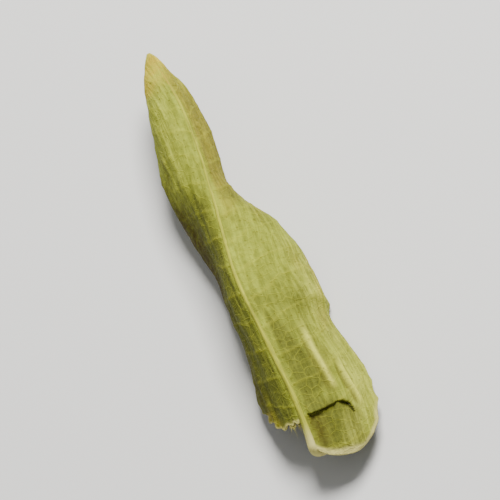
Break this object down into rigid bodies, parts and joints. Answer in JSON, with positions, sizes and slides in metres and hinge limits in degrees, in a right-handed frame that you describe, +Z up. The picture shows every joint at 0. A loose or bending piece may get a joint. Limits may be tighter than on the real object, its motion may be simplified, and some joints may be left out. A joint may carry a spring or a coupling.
{
  "type": "curry leaf",
  "caption": "Dried leaflet folded down along its midrib and gently twisted, with a raised midrib, side veins, a slanted base and a short hooked stalk.",
  "frame": {"origin": "centre of the leaf's box in X and Y, at the height of the surface that it lies on", "axes": "+Y along the leaf from its stalk to its tip, +X towards the half with the base lobe, +Z up, square to the surface that it lies on"},
  "size_m": [0.0098, 0.0422, 0.0076],
  "materials": {
    "leaf": "matte"
  },
  "bodies": {
    "root": {"leaf": "leaf"}
  },
  "joints": []
}
